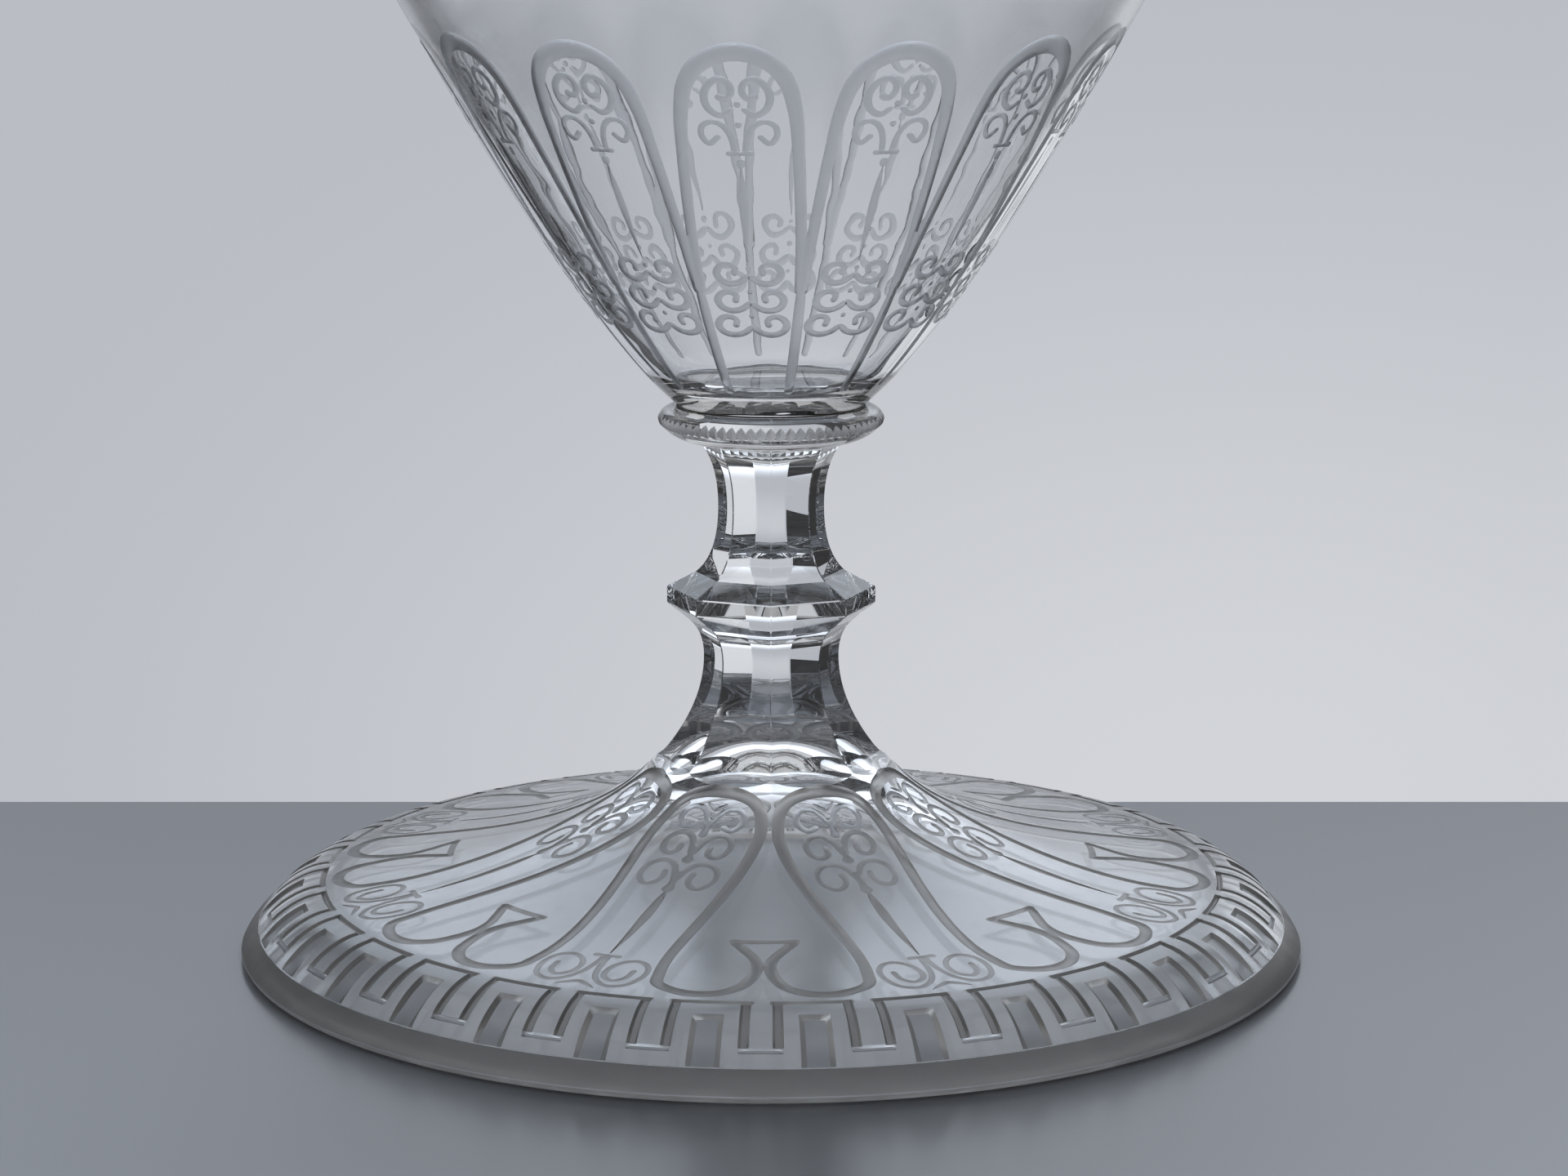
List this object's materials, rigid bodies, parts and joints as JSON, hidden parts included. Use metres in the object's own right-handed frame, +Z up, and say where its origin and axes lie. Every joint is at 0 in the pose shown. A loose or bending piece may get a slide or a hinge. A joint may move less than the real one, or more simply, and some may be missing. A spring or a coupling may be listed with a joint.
{
  "type": "pokal goblet",
  "caption": "Footed glass goblet with a conical bowl, a notched collar, a faceted stem with a knop and a wide domed foot with a flat ring to stand on.",
  "frame": {"origin": "centre of the flat ring under the foot, on the surface that the goblet stands on", "axes": "+Z up along the goblet's axis; an edge of the eight-sided stem faces -Y, the picture's viewing side"},
  "size_m": [0.13, 0.13, 0.172],
  "materials": {
    "clear_glass": "polished clear glass with matte cut and engraved ornament",
    "cement": "thin dark cement film"
  },
  "bodies": {
    "root": {"foot": "clear_glass", "lower_stem": "clear_glass", "knop": "clear_glass", "upper_stem": "clear_glass", "collar": "clear_glass", "bowl_cement": "cement", "bowl": "clear_glass"}
  },
  "joints": []
}
